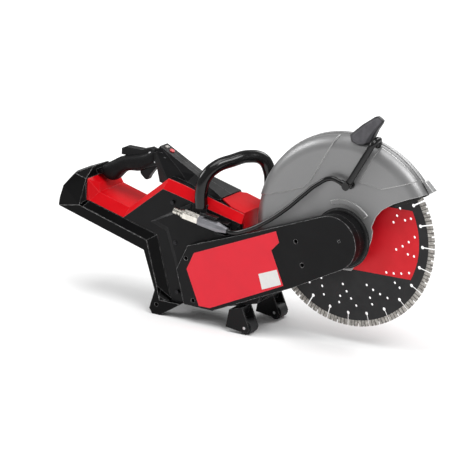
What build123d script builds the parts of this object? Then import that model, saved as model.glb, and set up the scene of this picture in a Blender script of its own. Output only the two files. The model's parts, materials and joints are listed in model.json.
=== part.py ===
from build123d import *
from math import atan2, cos, degrees, hypot, pi, radians, sin, sqrt
import os

# Battery rescue saw, millimetres. Every piece is drawn about the blade centre:
# +X forward, +Y to the operator's left, +Z up. write() then moves it so that
# the origin sits on the ground under the middle of the whole saw.
ORIGIN_X = -227.6     # middle of the overall length, from the blade centre
ORIGIN_Y = -2.75       # middle of the overall width, from the blade plane
GROUND_Z = -213.0      # ground plane, from the blade centre

# Blade
BLADE_R = 177.8        # 14 inch blade
CORE_R = 166.0
CORE_T = 2.5
SEGMENT_T = 3.2
SEGMENTS = 24
ARBOR_R = 12.7
KEYHOLE_R = 153.0

# Guard
GUARD_R = 195.0
GUARD_SHEET = 2.0
GUARD_HALF_WIDTH = 28.0
GUARD_BEND = 26.0      # radius of the rounded shoulder between side plate and rim
GUARD_START = 30.0     # front end, anticlockwise seen from the right
GUARD_END = 223.0      # lower rear end
SHOULDER_R = GUARD_R - GUARD_BEND
SEAM_Y = 1.5           # where the guard's two halves meet on the rim
RELIEF = 1.8           # height of the pressed fields on the guard
GUARD_FRONT_EDGE = [(108.4, 82.9), (138.0, 95.5), (172.0, 107.0), (215.0, 121.5)]

# Belt drive, on the right of the blade
MOTOR = (-248.0, -98.0)
MOTOR_SHAFT_R = 7.0
DRIVE_PULLEY_R = 22.0
BLADE_PULLEY_R = 38.0
IDLER_R = 11.0
BELT_T = 3.0
PULLEY_GAP = 0.3       # belt to pulley, so that the still belt lets them turn
BELT_Y = (-65.5, -55.5)
COVER_Y = (-70.0, -52.0)
ARM_Y = (-52.0, -33.0)
BOSS_R = 36.0
NOSE_R = 52.0          # round front end of the arm and its cover
SPINDLE_R = 10.0
RUN = 0.05             # radial clearance of a running fit
COVER_SCREWS = [(-321, -82), (-305, -165), (-75, -8), (-61, -52)]

# Body
CORE_Y = 42.0          # half width of the body core
SIDE_Y = 52.0          # half width over the side cheeks
FIELD = 3.0            # height of the raised field on each cheek
RAIL_Y = 60.0          # half width over the bumper rails
BAND_LOW = [(-561, -7), (-480, -29), (-385, 43), (-346, 34), (-206, 0)]
BAND_HIGH = [(-545, 11), (-472, -10), (-378, 63), (-346, 56), (-206, 17)]
BAY_EDGE = [(-397, -154), (-420, -64), (-582, -17)]
FRONT_R = 204.0        # body front follows the guard's swing
WALL = 4.0
HANDLE_Y = 16.0        # half width of the rear handle core
GRIP_Y = 20.0          # half width over the rubber grip

# Front handle
HOOP_TUBE_R = 10.5
HOOP_GRIP_R = 11.7
HOOP_BEND = 34.0
HOOP_CORNERS = [(-298, -54, 24), (-297, -54, 96), (-219, 54, 112), (-205, 54, 10)]

# Controls
LEVER_PIVOT = (-442, 99)
TRIGGER_PIVOT = (-430, 82)
RIDGE_TOP = (-418.0, 116.0)     # upper end of the mast's sloping top face
RIDGE_LOW = (-333.0, 70.0)
RIDGE_HALF_WIDTH = 13.0
BUTTON_R = 5.0
BUTTON_REACH = 22.0    # along the top face from its upper end
LENS_REACH = 9.0

# Water feed
VALVE_TIP = (-348.2, -67.0, 9.0)
VALVE_FALL = 10.1      # degrees the valve slopes down towards the front
VALVE_R = 10.5
VALVE_END = 122.0      # length from the open tip to the hose end
VALVE_STEM = 64.0      # distance of the lever's pivot from the tip
HOSE_R = 4.5
TUBE_R = 6.0
ELBOW_R = 6.8
PLUG_R = 7.0
ELBOW = (16.0, -40.0, 106.0)
TUBE_BEND = (68.0, -38.0, 193.0)
TUBE_PORT = (68.0, -14.0, 197.0)
TUBE_END = (60.0, -12.0, 174.0)

# Wheels
WHEEL_R = 14.0
WHEEL_X = -187.0
AXLE_R = 3.0


# ---------------------------------------------------------------- helpers
def slab(points, y_low, y_high):
    """A flat outline in the upright X-Z plane, made solid between two Y stations."""
    face = Plane.XZ * make_face(Polyline(*points, close=True))
    return Pos(0, y_high, 0) * extrude(face, amount=y_high - y_low)


def disc(x, z, radius, y_low, y_high):
    """A round solid along Y."""
    middle = (y_low + y_high) / 2
    return Pos(x, middle, z) * Rot(90, 0, 0) * Cylinder(radius, y_high - y_low)


def ring(x, z, outer, inner, y_low, y_high):
    return disc(x, z, outer, y_low, y_high) - disc(x, z, inner, y_low - 1, y_high + 1)


def hexagon(x, z, across_flats, y_low, y_high):
    face = Plane.XZ * Pos(x, z) * RegularPolygon(across_flats / 2, 6, major_radius=False)
    return Pos(0, y_high, 0) * extrude(face, amount=y_high - y_low)


def block(x, y, z):
    """A box from three (low, high) pairs."""
    size = (x[1] - x[0], y[1] - y[0], z[1] - z[0])
    middle = ((x[0] + x[1]) / 2, (y[0] + y[1]) / 2, (z[0] + z[1]) / 2)
    return Pos(*middle) * Box(*size)


def hull(points):
    return ConvexPolyhedron(points)


def both_sides(points):
    """Each (x, y, z) point and its reflection in the blade plane."""
    return [(x, side * y, z) for x, y, z in points for side in (-1, 1)]


def flip(shape):
    """The left-hand twin of a right-hand piece."""
    return mirror(shape, about=Plane.XZ)


def wire_tube(path, start, direction, radius, bore=0):
    section = Plane(origin=start, z_dir=direction) * Circle(radius)
    solid = sweep(section, path=path)
    if bore:
        core = Plane(origin=start, z_dir=direction) * Circle(bore)
        solid = solid - sweep(core, path=path)
    return solid


def bar(start, end, radius, bore=0):
    """A straight round bar, or a pipe if it has a bore, between two points."""
    a, b = Vector(*start), Vector(*end)
    plane = Plane(origin=a, z_dir=b - a)
    solid = extrude(plane * Circle(radius), amount=(b - a).length)
    if bore:
        solid = solid - extrude(plane * Circle(bore), amount=(b - a).length)
    return solid


def group(pieces):
    """Several separate solids kept together in one node."""
    return Compound([solid for piece in pieces for solid in piece.solids()])


def turn(shape, angle):
    """Turn about the blade axis, anticlockwise seen from the right."""
    return Rot(0, -angle, 0) * shape


def write(name, shape):
    os.makedirs("parts", exist_ok=True)
    export_step(Pos(-ORIGIN_X, -ORIGIN_Y, -GROUND_Z) * shape, "parts/" + name + ".step")


# ---------------------------------------------------------------- blade
def blade_core():
    plate = Circle(CORE_R) - Circle(ARBOR_R)
    slot_length = CORE_R - KEYHOLE_R
    slot = Pos(KEYHOLE_R + slot_length / 2 + 1, 0) * Rectangle(slot_length + 2, 2.6)
    keyhole = slot + Pos(KEYHOLE_R, 0) * Circle(3.4)
    plate -= [place * keyhole for place in PolarLocations(0, SEGMENTS)]
    spiral = [(99.7, -7.3), (112.0, -2.2), (124.5, 2.6), (137.5, 7.1), (124.5, -8.3), (137.5, -8.3)]
    for radius, angle in spiral:
        where = PolarLocations(radius, SEGMENTS // 2, start_angle=angle)
        plate -= [place * Circle(2.6) for place in where]
    face = Plane.XZ * plate
    return Pos(0, CORE_T / 2, 0) * extrude(face, amount=CORE_T)


def blade_segments():
    half_angle = 180 / SEGMENTS - 0.5
    reach = BLADE_R + 20
    wedge = Polygon(
        (0, 0),
        (reach * cos(radians(half_angle)), -reach * sin(radians(half_angle))),
        (reach * cos(radians(half_angle)), reach * sin(radians(half_angle))),
        align=None,
    )
    notch = Pos(BLADE_R - 2, 0) * Rectangle(8, 3.6)
    side_notch = Pos(0, 11.4) * Rectangle(5, 2.4) + Pos(0, -11.4) * Rectangle(5, 2.4)
    tooth = (Circle(BLADE_R) - Circle(CORE_R)) & wedge
    tooth = tooth - notch - Pos(BLADE_R - 1, 0) * side_notch
    solid = Pos(0, SEGMENT_T / 2, 0) * extrude(Plane.XZ * tooth, amount=SEGMENT_T)
    first = turn(solid, 180 / SEGMENTS)
    return group([turn(first, 360 / SEGMENTS * i) for i in range(SEGMENTS)])


def spindle():
    shaft = disc(0, 0, SPINDLE_R, -66.0, 24.0)
    seat = disc(0, 0, ARBOR_R - RUN, -CORE_T / 2 - 8, 8)
    shoulder = disc(0, 0, 14.0, -21.0, -CORE_T / 2 - 8)
    thread_hole = disc(0, 0, 5.0, 2.0, 25.0)
    return shaft + seat + shoulder - thread_hole


def flange(y_low, y_high, bore):
    plate = ring(0, 0, 45.0, bore, y_low, y_high)
    relief_low = y_high - 0.6 if y_low < 0 else y_low - 1
    relief_high = y_high + 1 if y_low < 0 else y_low + 0.6
    return plate - ring(0, 0, 36.0, 18.0, relief_low, relief_high)


def arbor_bolt():
    head = hexagon(0, 0, 19.0, 26.0, 34.0)
    collar = disc(0, 0, 16.0, 24.0, 26.0)
    return head + collar + disc(0, 0, 5.0, 6.0, 24.0)


def outer_flange():
    return flange(CORE_T / 2, 8.0, ARBOR_R) + ring(0, 0, 24.0, SPINDLE_R, 8.0, 24.0)


# ---------------------------------------------------------------- guard
def guard_section(y_edge, side, inner_r):
    """Half of the channel in the X-Y plane: a side plate, a rounded shoulder and the rim."""
    y_plate = side * GUARD_HALF_WIDTH
    rim_y = y_plate - side * GUARD_BEND
    thin = GUARD_BEND - GUARD_SHEET
    slant = cos(pi / 4)
    outer_corner = (SHOULDER_R + GUARD_BEND * slant, rim_y + side * GUARD_BEND * slant)
    inner_corner = (SHOULDER_R + thin * slant, rim_y + side * thin * slant)
    y_inside = y_plate - side * GUARD_SHEET
    inner_rim = GUARD_R - GUARD_SHEET
    return make_face([
        Line((inner_r, y_plate), (SHOULDER_R, y_plate)),
        ThreePointArc((SHOULDER_R, y_plate), outer_corner, (GUARD_R, rim_y)),
        Line((GUARD_R, rim_y), (GUARD_R, y_edge)),
        Line((GUARD_R, y_edge), (inner_rim, y_edge)),
        Line((inner_rim, y_edge), (inner_rim, rim_y)),
        ThreePointArc((inner_rim, rim_y), inner_corner, (SHOULDER_R, y_inside)),
        Line((SHOULDER_R, y_inside), (inner_r, y_inside)),
        Line((inner_r, y_inside), (inner_r, y_plate)),
    ])


def guard_sweep(section):
    """Spin a section in the X-Y plane round the blade axis, over the guard's span."""
    solid = revolve(section, axis=Axis.Y, revolution_arc=GUARD_END - GUARD_START)
    middle = solid.center()
    start = degrees(atan2(middle.Z, middle.X))
    return turn(solid, (GUARD_START + GUARD_END) / 2 - start) - front_trim()


def front_trim():
    """What is cut away in front of the guard's front edge."""
    edge = GUARD_FRONT_EDGE
    return slab([*edge, (edge[-1][0], 0), (edge[0][0], 0)], -GUARD_HALF_WIDTH - 9, GUARD_HALF_WIDTH + 9)


def guard_envelope(grow):
    """The solid that the guard's outer surface encloses, moved outwards by grow."""
    y_plate = GUARD_HALF_WIDTH + grow
    bend = GUARD_BEND + grow
    rim_y = GUARD_HALF_WIDTH - GUARD_BEND
    corner = (SHOULDER_R + bend * cos(pi / 4), rim_y + bend * sin(pi / 4))
    half = make_face([
        Line((0, 0), (0, y_plate)),
        Line((0, y_plate), (SHOULDER_R, y_plate)),
        ThreePointArc((SHOULDER_R, y_plate), corner, (GUARD_R + grow, rim_y)),
        Line((GUARD_R + grow, rim_y), (GUARD_R + grow, 0)),
        Line((GUARD_R + grow, 0), (0, 0)),
    ])
    left = revolve(half, axis=Axis.Y)
    return left + flip(left)


def guard_plate_outline():
    """Right side plate: a disc cut away in front and underneath, down to the hub."""
    bound = Polyline(
        *reversed(GUARD_FRONT_EDGE), (93.5, 74), (81.5, 65.7), (69.6, 51.3), (61, 30), (64, 22), (61.4, 5),
        (52.7, -19), (20, -60), (-40, -62), (-100, -96), (-134, -126), (-230, -150), (-230, 230), (215, 230),
        close=True,
    )
    return (make_face(bound) & Circle(SHOULDER_R)) + Circle(NOSE_R)


def guard_fields():
    """Pressed fields that stand proud of the right plate and run up over its shoulder."""
    front = [(70, 176), (34.6, 113), (80.6, 105.9), (155, 130.7), (200, 146), (110, 220), (92, 214)]
    rear = [(-4, 212), (-67, 102), (-80.6, 87.6), (-118.8, 73.3), (-200, 50), (-220, 120), (-110, 210)]
    skin = guard_envelope(RELIEF) - guard_envelope(-GUARD_SHEET / 2)
    high, low = -14.0, -GUARD_HALF_WIDTH - 9
    return (skin & slab(front, low, high)) + (skin & slab(rear, low, high))


def guard_step():
    """Raised arc on the plate above the hub."""
    outer = [(52.8, 51.5), (12, 73.5), (-25.2, 69.0)]
    inner = [(-20.3, 61.3), (7.7, 65.6), (45.2, 44.7)]
    face = make_face([
        ThreePointArc(*outer),
        Line(outer[2], inner[0]),
        ThreePointArc(*inner),
        Line(inner[2], outer[0]),
    ])
    return Pos(0, -GUARD_HALF_WIDTH, 0) * extrude(Plane.XZ * face, amount=2.0)


def guard_shell():
    """Right half of the guard, with its side plate."""
    shell = guard_sweep(guard_section(SEAM_Y - 0.3, -1, SHOULDER_R - 2))
    face = Plane.XZ * (guard_plate_outline() - Circle(BOSS_R + RUN))
    plate = Pos(0, GUARD_SHEET - GUARD_HALF_WIDTH, 0) * extrude(face, amount=GUARD_SHEET)
    port = bar(TUBE_PORT, TUBE_END, TUBE_R + 0.2)
    return shell + plate + guard_fields() + guard_step() - port


def guard_outer_plate():
    """The left half, with the bead that laps over the right shell's edge."""
    plate = guard_sweep(guard_section(SEAM_Y, 1, 118.0))
    foot, gap, crest = GUARD_R - 0.7, GUARD_R + 0.1, GUARD_R + 1.8
    bead = make_face(Polyline(
        (gap, -3.2), (crest - 1, -3.2), (crest, -2.2), (crest, 3.5), (crest - 1, 5), (foot, 5.2),
        (foot, SEAM_Y + 0.05), (gap, SEAM_Y + 0.05), close=True,
    ))
    return plate + guard_sweep(bead)


def guard_lip():
    """Flared cap on the front end of the rim."""
    foot = GUARD_R + 2.2
    outline = [(foot, 39.2), (203.0, 38.8), (204.6, 35.6), (207.2, 31.9), (foot, 31.9)]
    points = [(r * cos(radians(angle)), r * sin(radians(angle))) for r, angle in outline]
    return slab(points, -7, 7)


def guard_flap():
    """Rubber spray flap inside the front edge, slotted for the blade."""
    upper = [(x, z + 3) for x, z in ((158, 102.3), *reversed(GUARD_FRONT_EDGE[:2]))]
    lower = [(x, z - 7) for x, z in (*GUARD_FRONT_EDGE[:2], (151.5, 100.5))]
    flap = slab(upper + lower, -GUARD_HALF_WIDTH, GUARD_HALF_WIDTH) & guard_envelope(-GUARD_SHEET - 0.3)
    return flap - disc(0, 0, 183, -8, 8)


def guard_clamp_ring():
    return ring(0, 0, 50.0, BOSS_R + RUN, -26.0, -23.0) - clamp_screws(0.1)


def clamp_screws(extra=0.0):
    places = [(43.5 * cos(radians(a)), 43.5 * sin(radians(a))) for a in (20, 110, 200, 290)]
    shanks = [disc(x, z, 2.0 + extra, -26.0, -22.9) for x, z in places]
    if extra:
        return group(shanks)
    heads = [disc(x, z, 4.0, -22.9, -20.5) for x, z in places]
    return group([shank + head for shank, head in zip(shanks, heads)])


def guard_handle():
    """Rubber lever on the crown of the guard, used to swing it."""
    foot = [(24, -25, 180), (10.5, -22, 184), (48, -23, 186), (12, -2, 199), (46, 0, 194)]
    blade = [(8.4, -14, 197), (34, -20, 218), (34, -6, 218), (62, -18, 206), (60, -6, 206)]
    tip = [(x, y, z) for x, z in ((62, 236), (76, 231.5)) for y in (-17, -9)]
    return hull(foot + blade + tip) - guard_envelope(RELIEF + 0.2) - disc(0, 0, GUARD_R + 2.6, -5.2, 5.2)


# ---------------------------------------------------------------- belt drive
def drive_direction():
    """Unit vector from the motor shaft to the blade shaft, and its upward normal."""
    length = hypot(*MOTOR)
    along = (-MOTOR[0] / length, -MOTOR[1] / length)
    return along, (-along[1], along[0]), length


def belt_face(grow):
    """Outline round both pulleys, set off from their rims."""
    along, up, length = drive_direction()
    small, large = DRIVE_PULLEY_R + grow, BLADE_PULLEY_R + grow
    lean = (small - large) / length
    rise = sqrt(1 - lean * lean)
    top = (lean * along[0] + rise * up[0], lean * along[1] + rise * up[1])
    low = (lean * along[0] - rise * up[0], lean * along[1] - rise * up[1])
    motor_top = (MOTOR[0] + small * top[0], MOTOR[1] + small * top[1])
    motor_low = (MOTOR[0] + small * low[0], MOTOR[1] + small * low[1])
    blade_top = (large * top[0], large * top[1])
    blade_low = (large * low[0], large * low[1])
    rear = (MOTOR[0] - small * along[0], MOTOR[1] - small * along[1])
    front = (large * along[0], large * along[1])
    return make_face([
        Line(motor_top, blade_top),
        ThreePointArc(blade_top, front, blade_low),
        Line(blade_low, motor_low),
        ThreePointArc(motor_low, rear, motor_top),
    ])


def drive_belt():
    face = Plane.XZ * (belt_face(PULLEY_GAP + BELT_T) - belt_face(PULLEY_GAP))
    return Pos(0, BELT_Y[1], 0) * extrude(face, amount=BELT_Y[1] - BELT_Y[0])


def idler_place():
    """The idler bears on the outside of the lower run, at its middle."""
    along, up, length = drive_direction()
    reach = PULLEY_GAP + BELT_T
    middle = (MOTOR[0] / 2, MOTOR[1] / 2)
    offset = (DRIVE_PULLEY_R + BLADE_PULLEY_R) / 2 + reach + PULLEY_GAP + IDLER_R
    return (middle[0] - up[0] * offset, middle[1] - up[1] * offset)


def pulley(x, z, radius, bore, hub_r):
    """A grooved belt pulley between two thin cheeks."""
    wheel = disc(x, z, radius, BELT_Y[0] - 0.2, BELT_Y[1] + 0.2)
    grooves = [
        ring(x, z, radius + 1, radius - 1.2, y, y + 1.2)
        for y in (BELT_Y[0] + 1.6, BELT_Y[0] + 4.4, BELT_Y[0] + 7.2)
    ]
    wheel = wheel - group(grooves)
    if hub_r < radius - 8:
        wheel = wheel - ring(x, z, radius - 4, hub_r, BELT_Y[0] - 1, BELT_Y[0] + 3)
    return wheel - disc(x, z, bore, -70, -50)


def unit_normal(a, b):
    """Normal on the left of the line from a to b."""
    length = hypot(b[0] - a[0], b[1] - a[1])
    return ((a[1] - b[1]) / length, (b[0] - a[0]) / length)


def inset_chain(points, distance):
    """A run of straight edges moved sideways to its right, with sharp corners."""
    normals = [unit_normal(a, b) for a, b in zip(points, points[1:])]
    moved = []
    for i, (x, z) in enumerate(points):
        before = normals[max(i - 1, 0)]
        after = normals[min(i, len(normals) - 1)]
        scale = distance / (1 + before[0] * after[0] + before[1] * after[1])
        moved.append((x - scale * (before[0] + after[0]), z - scale * (before[1] + after[1])))
    return moved


def cover_face(inset):
    """Outline of the arm and its cover: a round nose and a blunt angular tail."""
    top = (NOSE_R * cos(radians(110.4)), NOSE_R * sin(radians(110.4)))
    low = (NOSE_R * cos(radians(-62.8)), NOSE_R * sin(radians(-62.8)))
    tail = [low, (-82, -100), (-261, -178), (-326, -176), (-343, -107), (-317, -56), (-164, -4), top]
    chain = inset_chain(tail, inset)
    front = NOSE_R - inset
    nose = ThreePointArc(chain[-1], (front * cos(radians(23.8)), front * sin(radians(23.8))), chain[0])
    return make_face([Polyline(*chain), nose])


def cover_slab(inset, y_low, y_high):
    face = Plane.XZ * cover_face(inset)
    return Pos(0, y_high, 0) * extrude(face, amount=y_high - y_low)


def support_arm():
    """Cast arm: a plate bolted to the body, thickened in front of it, with a bearing boss."""
    plate = cover_slab(1.0, ARM_Y[0], -CORE_Y - 0.2)
    thick = cover_slab(1.0, -CORE_Y - 0.2, ARM_Y[1]) & disc(0, 0, 202.5, -60, 0)
    boss = disc(0, 0, BOSS_R, ARM_Y[1], -21.5)
    arm = plate + thick + boss
    arm = arm - disc(0, 0, 21.0, ARM_Y[0] - 1, -40.0) - disc(0, 0, 21.0, -32.5, -20.0)
    arm = arm - disc(0, 0, SPINDLE_R + 2, -60, -20) - disc(*MOTOR, 16.0, -60, -CORE_Y + 1)
    holes = [disc(x, z, 2.2, -53, -CORE_Y - 2) for x, z in COVER_SCREWS]
    x, z = idler_place()
    holes.append(disc(x, z, 4.0, -53, -46))
    pocket = cover_slab(12.0, -CORE_Y + 3, ARM_Y[1] + 1) & disc(0, 0, 190, -60, 0)
    pocket = pocket - disc(0, 0, 56, -60, 0)
    return arm - group(holes) - pocket


def belt_cover():
    shell = cover_slab(0.0, COVER_Y[0], COVER_Y[1] - 0.1)
    inner = cover_slab(3.0, COVER_Y[0] + 2.5, COVER_Y[1] + 1)
    cover = shell - inner
    for x, z in COVER_SCREWS:
        cover = cover + disc(x, z, 5.4, COVER_Y[0], COVER_Y[1] - 0.1)
    for x, z in COVER_SCREWS:
        cover = cover - disc(x, z, 4.2, COVER_Y[0] - 1, -57.0) - disc(x, z, 2.2, -60.0, COVER_Y[1] + 1)
    return cover - disc(17, 7, 2.6, COVER_Y[0] - 1, -60)


def cover_screws():
    screws = []
    for x, z in COVER_SCREWS:
        head = disc(x, z, 4.0, -61.0, -57.2) - hexagon(x, z, 3.0, -62.0, -59.5)
        screws.append(head + disc(x, z, 2.1, -57.2, -45.0))
    return group(screws)


def cover_panel():
    """Coloured plate let onto the cover's face."""
    points = [
        (-302, -68), (-319, -103), (-291, -173), (-266, -173), (-101, -99), (-128, -34), (-111, -16), (-118, 5),
    ]
    clear = group([disc(x, z, 7, -80, -60) for x, z in COVER_SCREWS])
    return slab(points, COVER_Y[0] - 0.8, COVER_Y[0]) - clear


def bearing(x, z, outer, inner, y_low, y_high):
    """Sealed ball bearing: a ring with a shallow seal groove on each face."""
    middle = (outer + inner) / 2
    body = ring(x, z, outer, inner, y_low, y_high)
    groove_low = ring(x, z, middle + 2.5, middle - 2.5, y_low - 1, y_low + 0.5)
    groove_high = ring(x, z, middle + 2.5, middle - 2.5, y_high - 0.5, y_high + 1)
    return body - groove_low - groove_high


def spindle_bearings():
    pair = [bearing(0, 0, 20.9, SPINDLE_R + RUN, y, y + 9.5) for y in (-50.5, -32.0)]
    return group(pair)


def idler_pin():
    x, z = idler_place()
    return disc(x, z, 4.0 - RUN, -66.5, -46.1) - hexagon(x, z, 3.0, -67, -64)


# ---------------------------------------------------------------- motor
def motor_stator():
    x, z = MOTOR
    stack = ring(x, z, 44.0, 25.0, -34.0, 12.0)
    slots = [
        Pos(x, -11, z) * Rot(0, 30 * i, 0) * Pos(34, 0, 0) * Box(10, 40, 5) for i in range(12)
    ]
    return stack - group(slots)


def motor_rotor():
    """Magnet drum and its through shaft."""
    return disc(*MOTOR, 24.5, -32.0, 10.0) + disc(*MOTOR, MOTOR_SHAFT_R, -66.0, 33.0)


def motor_bearings():
    right = bearing(*MOTOR, 15.9, MOTOR_SHAFT_R + RUN, -51.0, -43.0)
    left = bearing(*MOTOR, 14.9, MOTOR_SHAFT_R + RUN, 13.0, 21.0)
    return group([right, left])


def motor_end_cap():
    cap = ring(*MOTOR, 44.0, 15.0, 12.2, 22.0)
    x, z = MOTOR
    vents = [Pos(x, 17, z) * Rot(0, 60 * i, 0) * Pos(31, 0, 0) * Box(14, 20, 9) for i in range(6)]
    return cap - group(vents)


def motor_fan():
    x, z = MOTOR
    fan = ring(x, z, 12.0, MOTOR_SHAFT_R, 24.0, 33.0) + ring(x, z, 35.0, MOTOR_SHAFT_R, 24.0, 25.5)
    vane = Pos(22, 0, 0) * Rot(0, 20, 0) * Box(24, 8, 1.6)
    for i in range(12):
        fan = fan + Pos(x, 29, z) * Rot(0, 30 * i, 0) * vane
    return fan


# ---------------------------------------------------------------- body
def core_face():
    """Side outline of the body core, up to the trim that covers its rear deck."""
    arc_top = (-209, -15)
    arc_low = (FRONT_R * cos(radians(222)), FRONT_R * sin(radians(222)))
    arc_start = (-sqrt(FRONT_R ** 2 - 15 ** 2), -15)
    middle = (FRONT_R * cos(radians(203)), FRONT_R * sin(radians(203)))
    top = Polyline(
        arc_low, (-170, -152), (-262, -176), (-341, -182), (-392, -182), *BAY_EDGE,
        (-575, 12), (-545, 8), (-472, -13.5), (-399, 43), *BAND_HIGH[2:4], (-209, 18), arc_top, arc_start,
    )
    return make_face([top, ThreePointArc(arc_start, middle, arc_low)])


def cheek_points():
    """Side cheek: below the trim band and in front of the bumper groove."""
    return [
        (-480, -29), (-385, 43), (-346, 34), (-209.2, 0.7), (-209.2, -15), (-204.5, -15.5), (-198, -62),
        (-182, -96), (-160, -130),
        (-170, -152), (-262, -176), (-341, -182), (-366, -181), (-399, -51),
    ]


def side_panel():
    """Raised field on the cheek with bevelled edges."""
    low = [
        (-415, -27), (-378, -40), (-355, -113), (-341, -180), (-262, -174), (-212, -140), (-212, -4),
        (-320, 24),
    ]
    high = [
        (-402, -22), (-372, -32), (-347, -110), (-333, -173), (-262, -168), (-218, -136), (-218, -12),
        (-322, 15),
    ]
    base = Pos(0, -SIDE_Y, 0) * (Plane.XZ * make_face(Polyline(*low, close=True)))
    top = Pos(0, -SIDE_Y - FIELD, 0) * (Plane.XZ * make_face(Polyline(*high, close=True)))
    return loft([base.face(), top.face()])


def mast():
    """Front strut of the rear handle: a narrow ridge that spreads down to the body."""
    top = [(x, RIDGE_HALF_WIDTH, z) for x, z in (RIDGE_TOP, RIDGE_LOW)]
    upper = [(-425, 16, 104), (-427, 16, 86), (-418, 16, 44), (-364, 22, 74), (-340, 26, 48), (-385, 26, 42)]
    foot = [
        (-336, RIDGE_HALF_WIDTH, 71.5), (-308, 18, 59), (-262, 34, 40), (-329, 26, 50), (-300, 34, 38),
        (-385, 34, 44), (-262, 38, 36),
    ]
    return hull(both_sides(top + upper)) + hull(both_sides(foot))


def handle_core():
    points = [
        (-592, 34), (-572, 47), (-542, 62), (-518, 74), (-505, 79), (-466, 88), (-440, 98), (-425, 104),
        (-410, 104), (-400, 80), (-424, 77), (-438, 72), (-473, 59), (-493, 60), (-516, 48), (-526, 37),
        (-540, 35), (-563, 42),
        (-576, 30), (-592, 26),
    ]
    return slab(points, -HANDLE_Y, HANDLE_Y)


def lever_pocket():
    points = [(-519, 78), (-519, 118), (-428, 118), (-430, 93), (-446, 91), (-466, 86), (-500, 78)]
    return slab(points, -8.6, 8.6)


def trigger_pocket():
    points = [(-477, 40), (-477, 74), (-462, 80), (-444, 84), (-436, 90), (-424, 91), (-419, 84), (-419, 40)]
    return slab(points, -6.6, 6.6)


def switch_pocket():
    return block((-412, -376), (-9, 9), (60, 86))


def body_core(half_width):
    return Pos(0, half_width, 0) * extrude(Plane.XZ * core_face(), amount=2 * half_width)


def body_solid():
    """The body before it is split into halves and hollowed."""
    cheeks = slab(cheek_points(), -SIDE_Y, SIDE_Y)
    fields = side_panel() + flip(side_panel())
    return body_core(CORE_Y) + cheeks + mast() + handle_core() + fields


def body_cavity():
    face = offset(core_face(), amount=-WALL, kind=Kind.INTERSECTION)
    depth = CORE_Y - WALL
    return Pos(0, depth, 0) * extrude(Plane.XZ * face, amount=2 * depth)


def housing_halves():
    shell = body_solid() - body_cavity() + battery_rails()
    shell = shell - lever_pocket() - trigger_pocket() - switch_pocket() - vents()
    shell = shell - disc(*LEVER_PIVOT, 2.0, -20, 20) - disc(*TRIGGER_PIVOT, 2.0, -20, 20)
    shell = shell - button_axis_cylinder(BUTTON_R + 0.3, -6.0, 20) - lens_block(0.0)
    shell = shell - terminal_window()
    screws = housing_screws(0.1)
    right = shell & block((-700, 0), (-100, -0.05), (-300, 300))
    left = shell & block((-700, 0), (0.05, 100), (-300, 300))
    recess = cover_slab(-0.6, -100, -CORE_Y)
    right = right - recess - disc(*MOTOR, 18, -60, -30) - screws
    left = left - left_vents()
    return right, left


def vents():
    """Slots under the body for the motor's cooling air."""
    return group([block((x, x + 5), (-26, 26), (-200, -150)) for x in range(-330, -270, 11)])


def left_vents():
    """Air outlet grille on the left side, beside the fan."""
    rows = [block((-286, -206), (30, 70), (z, z + 4)) for z in range(-132, -66, 9)]
    return group([row & disc(*MOTOR, 34, 20, 80) for row in rows])


def terminal_window():
    return block((-426, -396), (-24, 24), (-128, -84))


def housing_screws(extra=0.0):
    """Long screws that clamp the two halves, put in from the right."""
    field = SIDE_Y + FIELD + 0.2
    places = [
        (-362, 20, field), (-356, -60, field), (-352, -160, field), (-440, -22, CORE_Y),
        (-404, 92, HANDLE_Y + 0.5), (-555, 46, HANDLE_Y + 2),
    ]
    screws = []
    for x, z, depth in places:
        screws.append(disc(x, z, 2.0 + extra, -depth - 0.2, -0.05))
        screws.append(disc(x, z, 4.0 + extra, -depth - 1, -depth + 2.5))
    return group(screws)


def bevel_strip(index):
    """One length of the sloping band between the cheek and the top deck."""
    points = []
    for i in (index, index + 1):
        low, high = BAND_LOW[i], BAND_HIGH[i]
        points.append((low[0], -SIDE_Y, low[1]))
        points += [(x, -CORE_Y - 0.05, z) for x, z in (low, high)]
    return hull(points)


def handle_tray():
    """Coloured liner of the handle opening: deck, sloping sides and rear wall."""
    floor = [(-545, 11), (-472, -10), (-401, 44.5), (-399, 43), (-472, -13.4), (-545, 8.1)]
    deck = slab(floor, -CORE_Y, CORE_Y)
    sides = bevel_strip(0) + flip(bevel_strip(0))
    rear = hull(both_sides([
        (-575, 50, 37), (-568, 50, 37), (-561, SIDE_Y, -7), (-575, 50, -7), (-545, CORE_Y, 11),
        (-545, CORE_Y, 8.1), (-552, 30, 26),
    ]))
    keep = slab([(-600, -40), (-600, 60), (-380, 60), (-380, -40)], -SIDE_Y, SIDE_Y)
    tray = (deck + sides + rear) & keep
    return tray - body_core(CORE_Y) - handle_core() - grip_outer() - mast()


def top_trim():
    """The bevel bands along both top edges, in front of the tray, and the front cap."""
    right = bevel_strip(1) + bevel_strip(2) + bevel_strip(3)
    return right + flip(right) + front_cap()


def front_cap():
    """Coloured cap over the body's top front edge, drawn out to a point on the right."""
    reach = CORE_Y - 0.5
    plan = Polyline(
        (-271, -26), (-236, -reach), (-203, -reach), (-203, reach), (-252, reach), (-262, 30), close=True,
    )
    column = Pos(0, 0, -60) * extrude(make_face(plan), amount=140)
    side = [(-271, 36.2), (-209, 18.1), (-209, -14.9), (-205.6, -14.9), (-205.6, 20), (-268, 38.6)]
    return (slab(side, -reach, reach) & column) - mast()


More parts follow.
